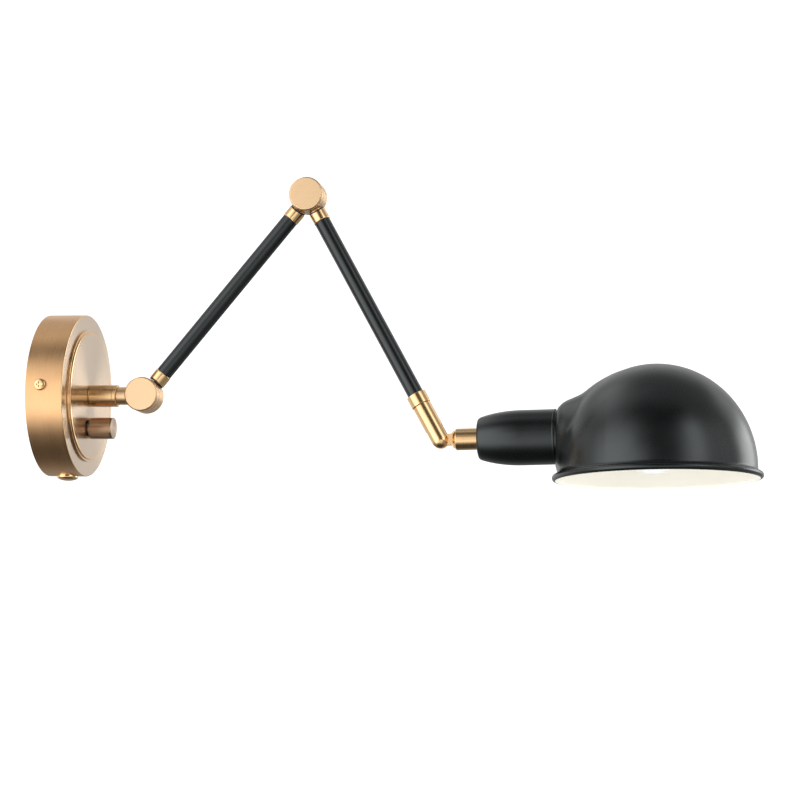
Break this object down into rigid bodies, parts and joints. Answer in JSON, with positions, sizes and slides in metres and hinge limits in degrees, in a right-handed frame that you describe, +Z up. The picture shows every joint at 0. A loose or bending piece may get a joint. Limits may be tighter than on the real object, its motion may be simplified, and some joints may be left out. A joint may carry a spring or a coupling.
{
  "type": "articulating wall light",
  "caption": "Wall light with a round brushed-brass canopy, black arms on brass half-lap knuckles, a clevis, a black bullet holder and a dome shade, and a knurled dimmer knob.",
  "frame": {"origin": "centre of the wall bracket's back face, on the wall plane, on the axis of canopy and stem", "axes": "+X points out from the wall along the stem, +Z up, +Y to the left seen from the front; the arms lie in the XZ plane"},
  "size_m": [0.5523, 0.157, 0.236],
  "materials": {
    "brushed_brass": "circumferentially brushed, lacquered",
    "polished_brass": "polished",
    "satin_brass": "fine satin",
    "black_satin": "satin black lacquer; the shade is cream white inside",
    "zinc_steel": "zinc plated",
    "white_plastic": "plain",
    "black_plastic": "plain",
    "porcelain": "glazed",
    "opal_glass": "frosted white"
  },
  "bodies": {
    "base": {"wall_bracket": "zinc_steel", "earth_screw": "zinc_steel", "terminal_block": "white_plastic", "canopy": "brushed_brass", "face_disc": "polished_brass", "side_screws": "polished_brass", "outlet_plug": "polished_brass", "plug_nut": "zinc_steel", "stem_sleeve": "brushed_brass", "sleeve_nut": "zinc_steel", "dimmer_body": "black_plastic", "dimmer_nut": "zinc_steel"},
    "stem": {"stem_swivel": "brushed_brass", "swivel_washer": "zinc_steel", "swivel_nut": "polished_brass", "stem_lead": "white_plastic", "shoulder_cap": "satin_brass", "shoulder_washer": "black_plastic", "shoulder_nut": "satin_brass"},
    "arm1": {"arm1_lower_lap": "satin_brass", "arm1_lower_ferrule": "polished_brass", "arm1_tube": "black_satin", "arm1_upper_ferrule": "polished_brass", "arm1_upper_lap": "satin_brass", "arm1_lead": "white_plastic"},
    "arm2": {"elbow_cap": "satin_brass", "elbow_washer": "black_plastic", "elbow_nut": "satin_brass", "arm2_upper_lap": "satin_brass", "arm2_upper_ferrule": "polished_brass", "arm2_tube": "black_satin", "arm2_collar": "polished_brass", "arm2_lead": "white_plastic"},
    "clevis": {"clevis": "polished_brass", "clevis_washer": "zinc_steel", "clevis_nut": "zinc_steel", "clevis_pin": "polished_brass"},
    "lamp_holder": {"holder_tongue": "polished_brass", "holder_cup": "black_satin", "socket_nipple": "zinc_steel", "nipple_nut": "zinc_steel", "clamp_ring": "black_satin", "socket_body": "porcelain", "socket_shell": "polished_brass", "socket_contact": "polished_brass", "shade_ring": "white_plastic", "shade": "black_satin", "bulb_glass": "opal_glass", "bulb_cap": "zinc_steel"},
    "dimmer": {"dimmer_knob": "brushed_brass", "dimmer_shaft": "zinc_steel"}
  },
  "joints": [
    {"name": "stem_turn", "type": "hinge", "parent": "base", "child": "stem", "pos_m": [0.043, 0, 0], "axis": [1, 0, 0], "range_deg": [-160, 160]},
    {"name": "shoulder_pivot", "type": "hinge", "parent": "stem", "child": "arm1", "pos_m": [0.076, 0, 0], "axis": [0, -1, 0], "range_deg": [-150, 48]},
    {"name": "elbow_pivot", "type": "hinge", "parent": "arm1", "child": "arm2", "pos_m": [0.20145, 0, 0.15602], "axis": [0, -1, 0], "range_deg": [-8, 150]},
    {"name": "clevis_turn", "type": "hinge", "parent": "arm2", "child": "clevis", "pos_m": [0.30946, 0, -0.03334], "axis": [0.4955, 0, -0.8686], "range_deg": [-160, 160]},
    {"name": "shade_tilt", "type": "hinge", "parent": "clevis", "child": "lamp_holder", "pos_m": [0.30946, 0, -0.03334], "axis": [0, -1, 0], "range_deg": [-140, 45]},
    {"name": "dimmer_turn", "type": "hinge", "parent": "base", "child": "dimmer", "pos_m": [0.04, 0, -0.0254], "axis": [1, 0, 0], "range_deg": [-150, 150]}
  ]
}
